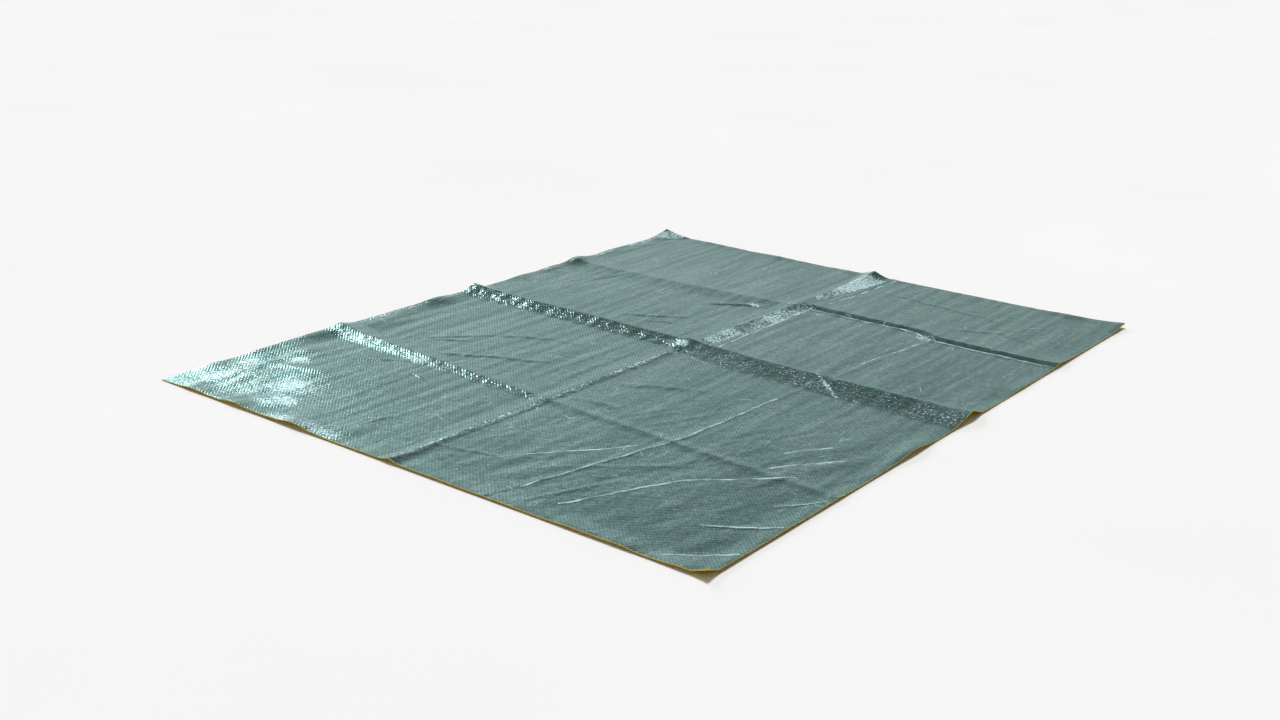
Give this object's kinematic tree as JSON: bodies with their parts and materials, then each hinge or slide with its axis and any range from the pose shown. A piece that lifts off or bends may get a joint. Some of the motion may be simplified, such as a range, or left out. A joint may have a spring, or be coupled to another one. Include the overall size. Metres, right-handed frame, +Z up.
{
  "type": "fold-up foam sleeping pad",
  "caption": "Wide, thin foil-faced foam sleeping pad lying open, cut from one sheet, with panels that fold up at raised crease lines across its length.",
  "frame": {"origin": "on the ground under the centre of the open pad", "axes": "+X along the pad's length towards the far end, +Y across its width, +Z up out of the foil-faced side"},
  "size_m": [2, 1.6, 0.0174],
  "materials": {
    "facing": "metallised film, satin, with a fine woven emboss",
    "foam_core": "soft closed-cell foam, matt"
  },
  "bodies": {
    "panel_1": {"panel_1_foam": "foam_core", "panel_1_facing": "facing", "crease_1_foam": "foam_core", "crease_1_facing": "facing"},
    "panel_2": {"panel_2_foam": "foam_core", "panel_2_facing": "facing"},
    "panel_3": {"panel_3_foam": "foam_core", "panel_3_facing": "facing", "crease_2_foam": "foam_core", "crease_2_facing": "facing"},
    "panel_4": {"panel_4_foam": "foam_core", "panel_4_facing": "facing", "crease_3_foam": "foam_core", "crease_3_facing": "facing"}
  },
  "joints": [
    {"name": "crease_1_fold", "type": "hinge", "parent": "panel_2", "child": "panel_1", "pos_m": [-0.505, 0, 0.017], "axis": [0, 1, 0], "range_deg": [0, 179.5], "deforming": ["crease_1_foam", "crease_1_facing"]},
    {"name": "crease_2_fold", "type": "hinge", "parent": "panel_2", "child": "panel_3", "pos_m": [0.05, 0, 0.0355], "axis": [0, -1, 0], "range_deg": [0, 179.5], "deforming": ["crease_2_foam", "crease_2_facing"]},
    {"name": "crease_3_fold", "type": "hinge", "parent": "panel_3", "child": "panel_4", "pos_m": [0.545, 0, 0.014], "axis": [0, -1, 0], "range_deg": [0, 179.5], "deforming": ["crease_3_foam", "crease_3_facing"]}
  ]
}
